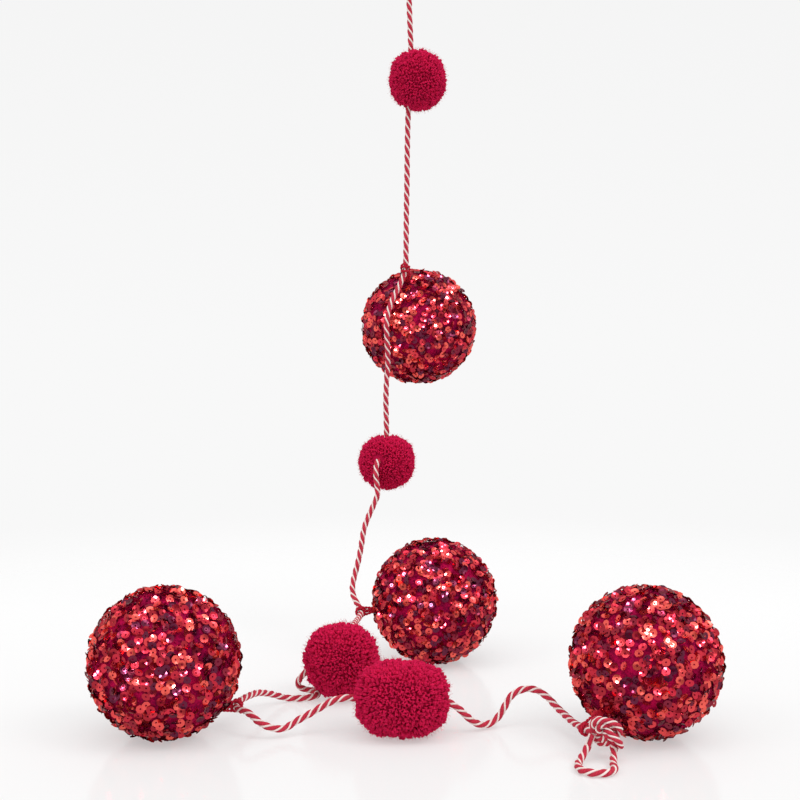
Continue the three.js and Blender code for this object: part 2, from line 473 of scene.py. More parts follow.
@dataclass(frozen=True)
class LitAcrylic(Finish):
    """A polished sheet of white acrylic with a little light under it. It gives the eye a pale
    ground with light shadows and faint soft reflections, and it fades out far from the garland,
    into the studio's pale surround."""

    white: str = "B0B0B0"
    glow: float = 0.445
    near_m: float = 0.2
    far_m: float = 0.62

    def build(self) -> Material:
        """Makes the material, which fades with the distance in the Object coordinates.

        Returns:
            The material.
        """
        material, add = self.start()
        main = add("ShaderNodeBsdfPrincipled", {
            "Base Color": linear(self.white), "Roughness": 0.14, "IOR": 1.12,
            "Emission Color": linear(WHITE), "Emission Strength": self.glow,
        })
        place = add("ShaderNodeTexCoord").outputs["Object"]
        distance = add("ShaderNodeVectorMath", {0: place}, operation="LENGTH").outputs["Value"]
        fade = add("ShaderNodeMapRange", {
            "Value": distance, "From Min": self.near_m, "From Max": self.far_m,
        }, interpolation_type="SMOOTHSTEP")
        clear = add("ShaderNodeBsdfTransparent")
        add("ShaderNodeOutputMaterial", {
            "Surface": add("ShaderNodeMixShader", {0: fade, 1: main, 2: clear}),
        })
        return material


# Geometry Nodes


def start_tree(name: str, **inputs: tuple[str, ...]) -> tuple[Tree, Add, object]:
    """Starts a geometry tree with named inputs.

    Args:
        name: The tree's name.
        **inputs: The inputs' names by the kind of socket.

    Returns:
        The tree, what adds a node to it, and the sockets that give its inputs, by name.
    """
    tree = bpy.data.node_groups.new(name, "GeometryNodeTree")
    for kind, labels in {"Geometry": ("Geometry",), **inputs}.items():
        for label in labels:
            tree.interface.new_socket(label, in_out="INPUT", socket_type=f"NodeSocket{kind}")
    tree.interface.new_socket("Geometry", in_out="OUTPUT", socket_type="NodeSocketGeometry")
    return tree, partial(add_node, tree), add_node(tree, "NodeGroupInput").outputs


def grow(name: str, source: Thing, tree: Tree, values: dict[str, object]) -> Thing:
    """Runs a geometry tree on an object and keeps the result as a plain mesh object.

    Args:
        name: The new object's name.
        source: The object that the tree starts from. It is removed.
        tree: The geometry tree.
        values: The tree's inputs by name.

    Returns:
        The new object, at the origin.
    """
    modifier = source.modifiers.new(tree.name, "NODES")
    modifier.node_group = tree
    for item in tree.interface.items_tree:
        if item.item_type == "SOCKET" and item.in_out == "INPUT" and item.name in values:
            modifier[item.identifier] = values[item.name]
    bpy.context.view_layer.update()
    graph = bpy.context.evaluated_depsgraph_get()
    mesh = bpy.data.meshes.new_from_object(source.evaluated_get(graph), depsgraph=graph)
    source.modifiers.remove(modifier)
    discard(source)
    mesh.name = name
    return new_object(name, mesh)


def attach(made: Thing, slot: Slot, *nodes: str) -> None:
    """Puts a finished piece on the garland's one body, in place of its CAD nodes.

    Args:
        made: The piece.
        slot: The record's slot. It is not used.
        *nodes: The CAD nodes that it stands for.
    """
    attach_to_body(made, BODY)
    if nodes:
        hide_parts(*nodes)
    made.data.calc_loop_triangles()
    log.info("%s: %d triangles", made.name, len(made.data.loop_triangles))


def twist_tree(name: str, *strands: tuple[str, float, Material]) -> Tree:
    """Builds the tree that lays strands round a line, in a left-handed twist.

    Each line gets a whole number of turns, so that the strands of a closed one meet.

    Args:
        name: The tree's name.
        *strands: For each strand the word before its size inputs, its turn in degrees, and its
            material. Strands with the same word share their inputs.

    Returns:
        The tree. Its input is a line of edges, and its output a mesh of closed tubes.
    """
    words = dict.fromkeys(word for word, _, _ in strands)
    sizes = [f"{word} {size}" for word in words for size in ("radius", "offset", "unevenness")]
    tree, add, given = start_tree(name, Float=("Lay", "Step", "Patch size", *sizes), Int=("Sides",))
    line = add("GeometryNodeMeshToCurve", {"Mesh": given["Geometry"]})
    even = add("GeometryNodeResampleCurve", {"Curve": line, "Length": given["Step"]}, mode="LENGTH")
    upright = add("GeometryNodeSetCurveNormal", {"Curve": even}, mode="MINIMUM_TWIST")
    where = add("GeometryNodeSplineParameter")
    kept = add("GeometryNodeStoreNamedAttribute", {
        "Name": "along", "Geometry": upright, "Value": where.outputs["Length"],
    }, data_type="FLOAT", domain="POINT")
    normal, tangent = add("GeometryNodeInputNormal"), add("GeometryNodeInputTangent")
    lays = add("ShaderNodeMath", {0: add("GeometryNodeSplineLength"), 1: given["Lay"]}, operation="DIVIDE")
    whole = add("ShaderNodeMath", {0: lays}, operation="ROUND")
    turns = add("ShaderNodeMath", {0: whole, 1: where}, operation="MULTIPLY")
    spot = add("GeometryNodeInputPosition")
    scale = add("ShaderNodeMath", {0: 1.0, 1: given["Patch size"]}, operation="DIVIDE")
    thick = add("ShaderNodeTexNoise", {"Vector": spot, "Scale": scale, "Detail": 1.0})
    about = add("ShaderNodeMath", {0: thick, 1: 0.5}, operation="SUBTRACT")
    way_out = add("ShaderNodeVectorMath", {0: spot}, operation="NORMALIZE")
    tubes = []
    for word, degrees, material in strands:
        angle = add("ShaderNodeMath", {
            0: turns, 1: -2 * math.pi, 2: math.radians(degrees),
        }, operation="MULTIPLY_ADD")
        out = add("ShaderNodeVectorRotate", {"Vector": normal, "Axis": tangent, "Angle": angle})
        moved = add("ShaderNodeVectorMath", {0: out, "Scale": given[f"{word} offset"]}, operation="SCALE")
        strand = add("GeometryNodeSetPosition", {"Geometry": kept, "Offset": moved})
        width = add("ShaderNodeMath", {
            0: about, 1: given[f"{word} unevenness"], 2: 1.0,
        }, operation="MULTIPLY_ADD")
        swollen = add("GeometryNodeSetCurveRadius", {"Curve": strand, "Radius": width})
        circle = add("GeometryNodeCurvePrimitiveCircle", {
            "Resolution": given["Sides"], "Radius": given[f"{word} radius"],
        })
        ringed = add("GeometryNodeStoreNamedAttribute", {
            "Name": "ring", "Geometry": circle, "Value": way_out,
        }, data_type="FLOAT_VECTOR", domain="POINT")
        tube = add("GeometryNodeCurveToMesh", {
            "Curve": swollen, "Profile Curve": ringed, "Fill Caps": True,
        })
        smooth = add("GeometryNodeSetShadeSmooth", {"Geometry": tube})
        tubes.append(add("GeometryNodeSetMaterial", {"Geometry": smooth, "Material": material}))
    joined = add("GeometryNodeJoinGeometry", {"Geometry": tubes})
    add("NodeGroupOutput", {"Geometry": add("GeometryNodeRealizeInstances", {"Geometry": joined})})
    return tree


# Seeds that keep a sown piece's random draws apart
JITTER_SEED, SIZE_SEED, LIFT_SEED, SHADE_SEED, LEAN_SEED = 3, 29, 11, 7, 17
# Between these values of the noise the pieces go from thin to full
CLOUD_THIN, CLOUD_FULL = 0.36, 0.56
# Shares of a spoke at which its distance to the cord is tested
TESTED_DEPTHS = (1.0, 0.8, 0.6)
# A spoke that doesn't fall is taken to fall by this, so that nothing is divided by zero
LEAST_FALL = -1e-6


def sow_tree(name: str, material: Material) -> Tree:
    """Builds the tree that sets small pieces all over a closed form, each on its own spoke.

    The pieces point away from the form's middle, lean a little each way, stand in low lumps, end
    level on the table, stay clear of the cord, and each stores its own shade.

    Args:
        name: The tree's name.
        material: The pieces' material.

    Returns:
        The tree. Its input is the outer form, and its output the small pieces.
    """
    tree, add, given = start_tree(
        name, Object=("Piece", "Cords"), Vector=("Centre",), Int=("Seed",), Float=(
            "Spacing", "Density", "Patch size", "Bare", "Uneven", "Jitter", "Inset", "Floor", "Room",
            "Lean", "Smallest", "Largest", "Height",
        ),
    )
    centre, floor, lean = given["Centre"], given["Floor"], given["Lean"]
    spot = add("GeometryNodeInputPosition")
    outward = add("ShaderNodeVectorMath", {0: spot, 1: centre}, operation="SUBTRACT")
    jitter, size, lift, shade = (
        add("FunctionNodeRandomValue", {2: low, 3: high, "Seed": seed}, data_type="FLOAT").outputs[1]
        for low, high, seed in (
            (-1.0, 1.0, JITTER_SEED), (given["Smallest"], given["Largest"], SIZE_SEED),
            (0.0, given["Height"], LIFT_SEED), (0.0, 1.0, SHADE_SEED),
        )
    )
    scale = add("ShaderNodeMath", {0: 1.0, 1: given["Patch size"]}, operation="DIVIDE")
    clouds, lumps = (
        add("ShaderNodeTexNoise", {"Vector": spot, "Scale": scale, "Detail": detail}) for detail in (2.0, 1.5)
    )
    # In a cloud the pieces stand thinner
    thick = add("ShaderNodeMapRange", {"Value": clouds, "From Min": CLOUD_THIN, "From Max": CLOUD_FULL})
    full = add("ShaderNodeMix", {0: given["Bare"], 2: 1.0, 3: thick}, data_type="FLOAT")
    spread = add("GeometryNodeDistributePointsOnFaces", {
        "Mesh": given["Geometry"], "Distance Min": given["Spacing"], "Density Max": given["Density"],
        "Density Factor": full, "Seed": given["Seed"],
    }, distribute_method="POISSON")
    # In a lump they all stand a little higher, and each one stands a little apart from the rest
    swell = add("ShaderNodeMath", {0: lumps, 1: 0.5}, operation="SUBTRACT")
    share = given["Inset"]
    for change, weight in ((swell, given["Uneven"]), (jitter, given["Jitter"])):
        share = add("ShaderNodeMath", {0: change, 1: weight, 2: share}, operation="MULTIPLY_ADD")
    reached = add("ShaderNodeVectorMath", {0: outward, "Scale": share}, operation="SCALE")
    # A piece that would stand in the table is drawn back along its own spoke
    rise, middle = (add("ShaderNodeSeparateXYZ", {0: point}).outputs[2] for point in (reached, centre))
    to_floor = add("ShaderNodeMath", {0: floor, 1: middle}, operation="SUBTRACT")
    down = add("ShaderNodeMath", {0: rise, 1: LEAST_FALL}, operation="MINIMUM")
    cut = add("ShaderNodeMath", {0: to_floor, 1: down}, operation="DIVIDE")
    kept = add("ShaderNodeMath", {0: cut, 1: 1.0}, operation="MINIMUM")
    fitted = add("ShaderNodeVectorMath", {0: reached, "Scale": kept}, operation="SCALE")
    tip = add("ShaderNodeVectorMath", {0: centre, 1: fitted}, operation="ADD")
    pruned = add("GeometryNodeSetPosition", {"Geometry": spread, "Position": tip})
    # The pieces part round the cord, which is tested at three depths
    cords = add("GeometryNodeObjectInfo", {"Object": given["Cords"]}).outputs["Geometry"]
    for depth in TESTED_DEPTHS:
        part = add("ShaderNodeVectorMath", {0: outward, "Scale": depth}, operation="SCALE")
        tested = add("ShaderNodeVectorMath", {0: part, 1: centre}, operation="ADD")
        near = add("GeometryNodeProximity", {
            "Geometry": cords, "Sample Position": tested,
        }, target_element="EDGES").outputs["Distance"]
        blocked = add("FunctionNodeCompare", {0: near, 1: given["Room"]}, operation="LESS_THAN")
        pruned = add("GeometryNodeDeleteGeometry", {"Geometry": pruned, "Selection": blocked})
    facing = add("FunctionNodeAlignRotationToVector", {"Vector": outward}, axis="Z")
    least = add("ShaderNodeMath", {0: lean, 1: -1.0}, operation="MULTIPLY")
    low, high = (
        add("ShaderNodeCombineXYZ", {"X": tilt, "Y": tilt, "Z": turn})
        for tilt, turn in ((least, -math.pi), (lean, math.pi))
    )
    leaning = add("FunctionNodeRandomValue", {
        0: low, 1: high, "Seed": LEAN_SEED,
    }, data_type="FLOAT_VECTOR")
    turned = add("FunctionNodeRotateRotation", {
        "Rotation": facing, "Rotate By": leaning,
    }, rotation_space="LOCAL")
    set_out = add("GeometryNodeInstanceOnPoints", {
        "Points": pruned, "Rotation": turned, "Scale": size,
        "Instance": add("GeometryNodeObjectInfo", {"Object": given["Piece"]}).outputs["Geometry"],
    })
    away = add("ShaderNodeVectorMath", {0: outward}, operation="NORMALIZE")
    lifted = add("ShaderNodeVectorMath", {0: away, "Scale": lift}, operation="SCALE")
    raised = add("GeometryNodeTranslateInstances", {
        "Instances": set_out, "Translation": lifted, "Local Space": False,
    })
    shaded = add("GeometryNodeStoreNamedAttribute", {
        "Name": "shade", "Geometry": raised, "Value": shade,
    }, data_type="FLOAT", domain="INSTANCE")
    real = add("GeometryNodeRealizeInstances", {"Geometry": shaded})
    parts = add("ShaderNodeSeparateXYZ", {0: spot}).outputs
    above = add("ShaderNodeMath", {0: parts[2], 1: floor}, operation="MAXIMUM")
    rested = add("ShaderNodeCombineXYZ", {0: parts[0], 1: parts[1], 2: above})
    level = add("GeometryNodeSetPosition", {"Geometry": real, "Position": rested})
    dressed = add("GeometryNodeSetMaterial", {"Geometry": level, "Material": material})
    add("NodeGroupOutput", {"Geometry": dressed})
    return tree


@dataclass(frozen=True)
class Sowing:
    """How small pieces are set on a form: their spacing, and how many places are tried in a square
    of it; their lean in radians; their sizes; where they end, as a share of the form's own reach,
    and how far that varies from piece to piece and from lump to lump; how wide lumps and clouds
    are; how full the thinnest clouds stay; the room left for the cord; and how far the pieces may
    be raised off the form."""

    spacing_mm: float
    tries: float
    lean: float
    smallest: float = 1.0
    largest: float = 1.0
    inset: float = 1.0
    jitter: float = 0.0
    uneven: float = 0.0
    patch_mm: float = 8.0
    bare: float = 0.0
    room_mm: float = 0.0
    height_mm: float = 0.0
    seed: int = 0

    def sow(
        self, name: str, form: Thing, tree: Tree, piece: Thing, cords: Thing, centre: Point, seed: int
    ) -> Thing:
        """Sets the pieces on a form.

        Args:
            name: The new object's name.
            form: The outer form. It is removed.
            tree: The tree that sows.
            piece: The small piece.
            cords: The line of the whole cord, which the pieces part round.
            centre: The form's middle, in millimetres above the table.
            seed: What the sowing's own seed is added to.

        Returns:
            The pieces, as one object.
        """
        return grow(name, form, tree, {
            "Piece": piece, "Cords": cords, "Centre": in_frame(centre), "Seed": seed + self.seed,
            "Floor": TABLE + CLEAR_OF_TABLE, "Spacing": self.spacing_mm * MM,
            "Density": self.tries / (self.spacing_mm * MM) ** 2, "Patch size": self.patch_mm * MM,
            "Bare": self.bare, "Uneven": self.uneven, "Jitter": self.jitter, "Inset": self.inset,
            "Room": self.room_mm * MM, "Lean": self.lean, "Smallest": self.smallest,
            "Largest": self.largest, "Height": self.height_mm * MM,
        })


# Forms


def egg(name: str, centre: Point, half: Point, detail: int, square: float = 2.0) -> Thing:
    """Makes a closed round form of even triangles.

    Args:
        name: The object's name.
        centre: Its middle, in millimetres above the table.
        half: Its half sizes in millimetres.
        detail: How often its triangles are divided.
        square: 2 for an ellipsoid, and more for flatter sides and fuller corners.

    Returns:
        The object.
    """
    form = bmesh.new()
    bmesh.ops.create_icosphere(form, subdivisions=detail, radius=1.0)
    made = mesh_object(name, [], [])
    for corner in form.verts:
        full = sum(abs(part) ** square for part in corner.co) ** (-1 / square)
        corner.co = in_frame(tuple(c + h * full * part for c, h, part in zip(centre, half, corner.co)))
    form.to_mesh(made.data)
    form.free()
    made.data.shade_smooth()
    return made


def rings(sides: int, rows: Sequence[tuple[float, float]], cap: float = 0.1) -> tuple[list, list]:
    """Makes the corners and faces of a solid of rings, closed at both ends by a point.

    Args:
        sides: How many corners each ring has.
        rows: Each ring's height and radius, from the low end up, in millimetres.
        cap: How far the upper point stands over the last ring.

    Returns:
        Corners in metres, and faces.
    """
    corners = [Vector((0, 0, rows[0][0])) * MM]
    for height, radius in rows:
        for s in range(sides):
            angle = 2 * math.pi * s / sides
            corners.append(Vector((radius * math.cos(angle), radius * math.sin(angle), height)) * MM)
    corners.append(Vector((0, 0, rows[-1][0] + cap)) * MM)
    last = len(corners) - 1
    faces = []
    for s in range(sides):
        n = (s + 1) % sides
        faces.append([0, 1 + n, 1 + s])
        faces.append([last, last - sides + s, last - sides + n])
        for k in range(len(rows) - 1):
            a = 1 + k * sides
            faces.append([a + s, a + n, a + sides + n, a + sides + s])
    return corners, faces


def store_reach(thing: Thing, length_mm: float) -> None:
    """Stores how far up each corner stands, from 0 at the root to 1 at height 0.

    Args:
        thing: The yarn end or fibre, whose tip is at height 0.
        length_mm: Its length.
    """
    reach = thing.data.attributes.new("reach", "FLOAT", "POINT")
    for corner, value in zip(thing.data.vertices, reach.data):
        value.value = min(1.0, max(0.0, 1 + corner.co.z / (length_mm * MM)))
    thing.data.shade_smooth()


# The cord


class Lay(Enum):
    """How a stretch of the cord lies."""

    LOOSE = "loose"
    HANGING = "hanging"


@dataclass(frozen=True)
class Stretch:
    """One free stretch of the cord, between two of the pieces that it carries."""

    node: str
    lay: Lay
    pieces: tuple[str, ...]
    rows: tuple[Point, ...]

    def line(self, step_mm: float = 0.5) -> np.ndarray:
        """The smooth line through the rows, by the centripetal rule that the CAD source uses.

        Args:
            step_mm: About how far apart the points are.

        Returns:
            Points in millimetres above the table.
        """
        rows = np.array(self.rows, float)
        ends = [2 * rows[0] - rows[1], *rows, 2 * rows[-1] - rows[-2]]
        points = [rows[0]]
        for before, start, end, after in zip(ends, ends[1:], ends[2:], ends[3:]):
            sides = ((before, start), (start, end), (end, after))
            a, b, c = (math.sqrt(np.linalg.norm(q - p)) for p, q in sides)
            leave = ((start - before) / a - (end - before) / (a + b) + (end - start) / b) * b
            arrive = ((end - start) / b - (after - start) / (b + c) + (after - end) / c) * b
            count = max(2, round(float(np.linalg.norm(end - start)) / step_mm))
            for k in range(1, count + 1):
                t = k / count
                points.append(
                    start + leave * t + (3 * (end - start) - 2 * leave - arrive) * t**2
                    + (2 * (start - end) + leave + arrive) * t**3
                )
        return np.array(points)


# The stretches from the top end to the other. The rows are the CAD source's own.
STRETCHES = (
    Stretch("top_loop", Lay.HANGING, ("top_knot_turns",), (
        (-4.6, 0, 349.1), (-6.6, 0, 355.4), (-8.1, 0, 362), (-8.8, 0, 368), (-7.9, 0, 374.6),
        (-4.8, 0, 380.2), (0, 0, 382.5), (4.8, 0, 380.2), (7.9, 0, 374.6), (8.8, 0, 368),
        (8.1, 0, 362), (6.6, 0, 355.4), (4.6, 0, 349.1),
    )),
    Stretch("cord_1", Lay.HANGING, (), (
        (0, 0, 336.1), (0.1, 0, 330), (0.5, 0, 319), (0.9, 0, 309), (1.2, 0, 299.4),
    )),
    Stretch("cord_2", Lay.HANGING, ("ball_1_tie",), (
        (0.6, 0, 283.6), (-0.3, 0, 275), (-0.8, 0, 258), (-1, 0, 240), (-1.3, 0, 222), (-1.5, 0, 204),
        (-1.8, 0, 194.1), (-3.6, -0.8, 188.6), (-6.2, -2.9, 183), (-8.8, -5.4, 177.4),
        (-10.8, -7.6, 171), (-11.5, -8.6, 165), (-11.3, -8, 158), (-10.9, -6.2, 151),
        (-10.9, -4, 144), (-11.5, -2.2, 137), (-11.9, -0.8, 126.4), (-11.7, 0, 115), (-11.4, 0, 102.2),
    )),
    Stretch("cord_3", Lay.HANGING, ("ball_2_tie",), (
        (-14.6, -8.4, 95.6), (-16, -12.2, 95.4), (-16.8, -15.2, 92.6), (-16.8, -16.3, 88),
        (-16.3, -16.6, 83.4), (-16, -16.9, 79), (-17.9, -17.8, 74), (-20.6, -19, 68),
        (-22.8, -21, 62), (-24.3, -24, 52.8), (-25.8, -27, 45.6), (-27.5, -30, 39.2),
        (-28.3, -33, 34.8), (-27.8, -36, 31.2), (-25.9, -39.6, 28), (-24, -43.4, 25.8),
        (-23.6, -48, 24.9), (-24.4, -56, 24.2), (-25.6, -66, 24.5), (-26.3, -76, 25),
        (-27.2, -86, 24.2), (-29, -99.4, 20.3),
    )),
    Stretch("cord_4", Lay.LOOSE, ("ball_3_tie",), (
        (-40.4, -107.2, 13.4), (-44, -106.9, 12.6), (-47, -106, 10.2), (-49.3, -104.8, 7.2),
        (-49.9, -103.4, 4.6), (-48.6, -101.6, 2.6), (-45.8, -101.4, 1.7), (-42.8, -103.4, 1.7),
        (-41, -107, 1.7), (-41.6, -111, 1.7), (-44.8, -114, 1.7), (-49.6, -115.1, 1.7),
        (-54.4, -116.2, 2.3), (-60.2, -121.4, 5.4), (-64.8, -130, 8.3), (-68.2, -139, 9.3),
        (-70.6, -146, 9.4), (-71.2, -152, 9.2), (-69.8, -158, 9.4), (-66.4, -162.2, 9.8),
        (-63.2, -165, 8.6), (-60.6, -166.6, 6.8), (-57, -167.4, 5.2), (-53.4, -166.8, 4.1),
        (-50, -165, 4), (-46.6, -162.8, 5.6), (-41, -161.4, 8.4), (-35.4, -161, 11.6),
        (-31, -161, 13.9), (-26.4, -161, 14.9), (-20.6, -161.4, 14.8), (-14.2, -161.8, 15.2),
    )),
    Stretch("cord_5", Lay.LOOSE, ("ball_4_tie", "end_knot_turns"), (
        (8.5, -162, 15.3), (13, -161.8, 14), (16.4, -161.4, 12.4), (19.4, -160.6, 10),
        (22, -159.4, 7.2), (25.4, -157.6, 4), (29.4, -155.4, 2.2), (33.3, -153.2, 2.9),
        (36.2, -151.8, 5.4), (38.3, -150.9, 8.7), (40.4, -150, 12), (43.4, -149.2, 14.2),
        (47.6, -149, 15.3), (51.8, -149.4, 14.6), (55.4, -151.2, 12.5), (58.9, -156.4, 9.6),
        (61.6, -163, 8.2), (63.7, -170.4, 7.7), (65.4, -177, 8.1), (66.6, -183.4, 9), (67.5, -187.7, 9.8),
    )),
    Stretch("end_loop", Lay.LOOSE, (), (
        (66.2, -192.2, 5.2), (64, -195.2, 2.9), (61.9, -199.6, 1.8), (60.8, -204.4, 1.7),
        (61.6, -208.8, 1.7), (64.6, -211.6, 1.7), (68.4, -212.2, 1.7), (71.8, -210.8, 1.7),
        (73.8, -207.2, 1.7), (74.2, -202, 1.7), (75, -197.4, 2.4), (75.8, -193.6, 4.6),
    )),
)


@dataclass(frozen=True)
class KnotPlace:
    """Where an overhand knot sits: its middle, the way its open side faces, its turn and slant,
    and for each cord that goes into it, where it goes in and where it is inside."""

    node: str
    at: Point
    faces: Point
    turn: float
    slant: float
    ends: tuple[tuple[Point, Point], ...]
    radius_mm: float = 4.1
    apart_mm: float = 1.3
    rise: float = 0.5
    squeeze: float = 0.8

    def lines(self, count: int = 150) -> list[np.ndarray]:
        """The two closed lines of an overhand knot that was tied with the cord doubled.

        Args:
            count: How many points each has.

        Returns:
            Points in millimetres above the table.
        """
        # The line goes round twice with three lobes, as an overhand knot's does
        u = np.linspace(0, 4 * math.pi, count, endpoint=False)
        facing = Vector((0, 0, 1)).rotation_difference(Vector(self.faces).normalized()).to_matrix()
        both = []
        for side in (-1, 1):
            wide = self.radius_mm * (2 + np.cos(1.5 * u)) / 2 + side * self.apart_mm
            height = self.rise * self.radius_mm * np.sin(1.5 * u)
            flat = np.stack([
                wide * np.cos(u + self.turn), self.squeeze * wide * np.sin(u + self.turn), height,
            ])
            c, s = math.cos(self.slant), math.sin(self.slant)
            slanted = np.array([[c, -s, 0], [s, c, 0], [0, 0, 1]]) @ flat
            both.append((np.array(facing) @ slanted).T + np.array(self.at))
        return both

    def tails(self, count: int = 8) -> list[np.ndarray]:
        """The short open lines of the cords that go into the knot.

        Args:
            count: How many points each has.

        Returns:
            Points in millimetres above the table.
        """
        return [np.linspace(start, inside, count) for start, inside in self.ends]


KNOTS = (
    KnotPlace("top_knot", (0, 0, 343.6), (0, 1, 0), math.pi / 2, math.pi / 2, (
        ((-4.6, 0, 349.1), (-2.5, 0, 345.5)), ((4.6, 0, 349.1), (2.5, 0, 345.5)),
        ((0, 0, 336.1), (0, 0, 341)),
    )),
    KnotPlace("end_knot", (73.1, -192, 10.5), (0.8, 0.8, 0.45), math.pi / 6, -math.pi / 7, (
        ((67.5, -187.7, 9.8), (70.2, -191, 10.6)), ((66.2, -192.2, 5.2), (67.8, -192, 9.6)),
        ((75.8, -193.6, 4.6), (74.6, -192.6, 9.6)),
    )),
)


def line_object(name: str, lines: list[np.ndarray], closed: bool = False) -> Thing:
    """Makes a mesh of loose edges along lines.

    Args:
        name: The object's name.
        lines: Lists of points in millimetres above the table.
        closed: Whether each line joins its own start.

    Returns:
        The object.
    """
    corners: list[Vector] = []
    edges: list[tuple[int, int]] = []
    for points in lines:
        first = len(corners)
        corners.extend(in_frame(tuple(p)) for p in points)
        edges.extend((k, k + 1) for k in range(first, len(corners) - 1))
        if closed:
            edges.append((len(corners) - 1, first))
    return mesh_object(name, corners, [], edges)


@dataclass
class Cord:
    """The cord: two red plies twisted to the left, with a fine white yarn in both grooves."""

    diameter_mm: float = 3.0
    lay_mm: float = 9.6
    step_mm: float = 0.65
    sides: int = 8
    ply_radius_mm: float = 0.79
    ply_offset_mm: float = 0.7
    yarn_radius_mm: float = 0.42
    yarn_offset_mm: float = 0.99
    drawn_up: float = 0.9
    knot_lay_mm: float = 7.5
    knot_yarn_mm: float = 0.36
    row_step_mm: float = 0.5
    ply_unevenness: float = 0.25
    yarn_unevenness: float = 0.9
    patch_mm: float = 3.0
    path_every: int = 4

    def dress(self) -> None:
        """Makes the cord's materials and its tree."""
        red = SpunYarn("spun cotton ply, red").build()
        white = SpunYarn(
            "spun cotton yarn, white", shadow="E0C8C4", light="FFF6F0", bloom=WHITE, twist_mm=1.5,
        ).build()
        self.tree = twist_tree(
            "two plies and two yarns", ("Ply", 0, red), ("Ply", 180, red), ("Yarn", 90, white),
            ("Yarn", 270, white),
        )

    def sizes(self, share: float = 1.0) -> dict[str, object]:
        """The tree's inputs.

        Args:
            share: How thick the cord is there, as a share of its free thickness.

        Returns:
            The values by name.
        """
        size = share * MM
        return {
            "Lay": self.lay_mm * size, "Step": self.step_mm * MM, "Sides": self.sides,
            "Ply radius": self.ply_radius_mm * size, "Ply offset": self.ply_offset_mm * size,
            "Yarn radius": self.yarn_radius_mm * size, "Yarn offset": self.yarn_offset_mm * size,
            "Ply unevenness": self.ply_unevenness, "Yarn unevenness": self.yarn_unevenness,
            "Patch size": self.patch_mm * MM,
        }

    def knot(self, place: KnotPlace) -> None:
        """Ties one overhand knot, whose cord is drawn up thinner than where it is free.

        Args:
            place: The knot's place.
        """
        source = line_object("knot line", place.lines(), closed=True)
        made = grow(f"{place.node}_turns", source, self.tree, {
            **self.sizes(self.drawn_up),
            "Lay": self.knot_lay_mm * MM, "Yarn radius": self.knot_yarn_mm * MM,
        })
        join(made, grow("knot tails", line_object("tail line", place.tails()), self.tree, self.sizes()))
        attach(made, Slot.CORD, place.node)

    def stretch(self, row: Stretch) -> None:
        """Args:
            row: The stretch.
        """
        points = row.line(self.row_step_mm)
        made = grow(f"{row.node}_twist", line_object("cord line", [points]), self.tree, self.sizes())
        attach(made, Slot.CORD, row.node)


# Ties


@dataclass(frozen=True)
class TiePlace:
    """A thread loop from a ball to the cord: the way out of the ball, the cord's middle in the
    loop and the cord's direction there."""

    leaves: Point
    cord: Point
    along: Point


